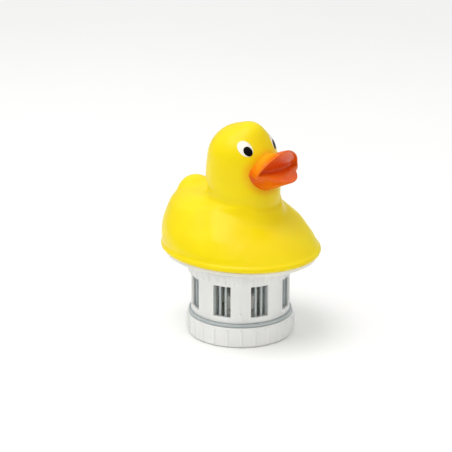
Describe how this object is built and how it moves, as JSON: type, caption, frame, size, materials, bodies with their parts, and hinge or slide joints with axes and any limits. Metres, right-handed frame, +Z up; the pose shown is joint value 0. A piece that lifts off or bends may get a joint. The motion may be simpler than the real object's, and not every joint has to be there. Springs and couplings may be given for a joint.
{
  "type": "floating chlorine dispenser",
  "caption": "Duck-shaped float over a slotted tablet canister with a turning flow sleeve and a weighted screw cap.",
  "frame": {"origin": "centre of the screw cap's base, on the canister's axis, at the middle of the part's bounding box", "axes": "+Z up along the canister's axis, -Y the way the duck looks, +X to its left"},
  "size_m": [0.1164, 0.132, 0.171],
  "materials": {
    "duck_vinyl": "soft satin vinyl, yellow",
    "bill_vinyl": "glossy orange vinyl",
    "eye_white": "gloss white paint",
    "eye_black": "gloss black paint",
    "foam": "closed-cell bead foam",
    "inner_plastic": "moulded polypropylene, off-white",
    "white_plastic": "moulded polypropylene, white",
    "milky_plastic": "natural polypropylene, milky",
    "tablet_chalk": "pressed powder, chalky",
    "seal_rubber": "pale silicone rubber",
    "stainless": "stainless steel"
  },
  "bodies": {
    "float": {"duck_shell": "duck_vinyl", "bill": "bill_vinyl", "eye_whites": "eye_white", "eye_pupils": "eye_black", "foam_block": "foam", "clamp_ring": "inner_plastic", "clamp_screws": "stainless", "rim_gasket": "seal_rubber", "float_pan": "white_plastic", "canister": "milky_plastic", "canister_screws": "stainless", "sleeve_oring": "seal_rubber"},
    "sleeve": {"flow_sleeve": "white_plastic"},
    "tray": {"tablet_tray": "inner_plastic", "tablets_lower": "tablet_chalk", "tablets_upper": "tablet_chalk"},
    "cap": {"bottom_cap": "white_plastic", "ballast_ring": "stainless", "ballast_cover": "inner_plastic", "ballast_screws": "stainless", "cap_seal": "seal_rubber"}
  },
  "joints": [
    {"name": "sleeve_turn", "type": "hinge", "parent": "float", "child": "sleeve", "pos_m": [0, 0, 0.035], "axis": [0, 0, 1], "range_deg": [0, 22.5]},
    {"name": "tray_lower", "type": "slide", "parent": "float", "child": "tray", "axis": [0, 0, -1], "range_m": [0, 0.007]},
    {"name": "cap_turn", "type": "hinge", "parent": "tray", "child": "cap", "pos_m": [0, 0, 0.008], "axis": [0, 0, -1], "range_deg": [0, 210]}
  ],
  "couplings": [
    {"joint": "tray_lower", "follows": "cap_turn", "m_per_rad": 0.0019099}
  ]
}
